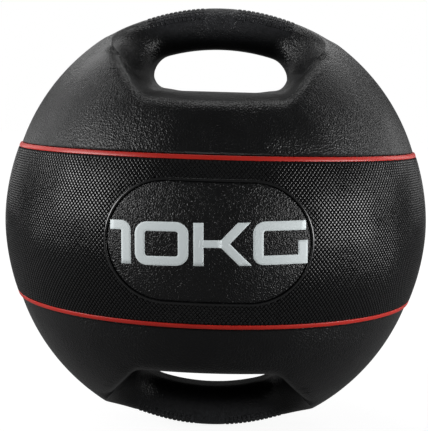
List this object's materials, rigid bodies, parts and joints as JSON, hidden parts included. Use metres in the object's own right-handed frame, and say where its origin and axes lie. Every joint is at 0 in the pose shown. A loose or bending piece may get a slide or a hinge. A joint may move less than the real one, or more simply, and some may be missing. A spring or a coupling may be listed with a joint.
{
  "type": "medicine ball",
  "caption": "Weighted rubber medicine ball with a recessed arched hand grip at each pole, a knurled belt edged by thin stripes and an oval badge panel on the front.",
  "frame": {"origin": "centre of the ball", "axes": "+Z through the crowns of both grips, the grips arch along X, the badge faces -Y"},
  "size_m": [0.282, 0.2817, 0.2832],
  "materials": {
    "cap_rubber": "satin moulded rubber with a fine grain",
    "belt_rubber": "moulded rubber with a fine diagonal knurl",
    "stripe_rubber": "smooth red rubber inlay",
    "badge_rubber": "moulded rubber with a leather grain",
    "core_steel": "drawn bar",
    "carcass_plastic": "moulded, unpolished",
    "seal_rubber": "plain sheet rubber",
    "fill_crumb": "packed crumb",
    "filler_plastic": "moulded"
  },
  "bodies": {
    "root": {"upper_cap": "cap_rubber", "lower_cap": "cap_rubber", "center_band": "belt_rubber", "upper_stripe": "stripe_rubber", "lower_stripe": "stripe_rubber", "front_badge": "badge_rubber", "upper_handle_core": "core_steel", "lower_handle_core": "core_steel", "upper_carcass": "carcass_plastic", "lower_carcass": "carcass_plastic", "carcass_seal": "seal_rubber", "packed_fill": "fill_crumb", "filler_bush": "filler_plastic", "plug_washer": "seal_rubber", "filler_plug": "filler_plastic"}
  },
  "joints": []
}
